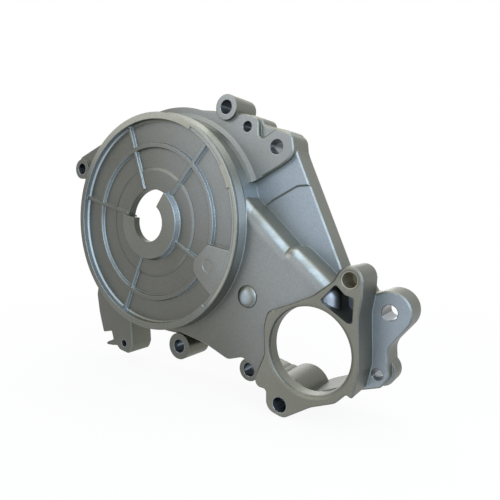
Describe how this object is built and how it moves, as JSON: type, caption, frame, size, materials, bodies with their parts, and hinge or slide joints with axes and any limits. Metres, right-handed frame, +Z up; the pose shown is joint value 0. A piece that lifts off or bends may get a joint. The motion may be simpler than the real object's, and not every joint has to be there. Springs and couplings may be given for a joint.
{
  "type": "stator cover",
  "caption": "Cast engine side cover with a round ribbed drum, a crankshaft opening, bolt bosses round the joint face and a bored seat for a starter motor.",
  "frame": {"origin": "crankshaft axis at the sealing face", "axes": "-Y out of the cover's front, +Y towards the crankcase, +Z up through the drum's top, +X to the right towards the starter seat, seen from the front"},
  "size_m": [0.2826, 0.0466, 0.2004],
  "materials": {
    "casting": "bead-blasted die casting, satin"
  },
  "bodies": {
    "root": {"stator_cover": "casting"}
  },
  "joints": []
}
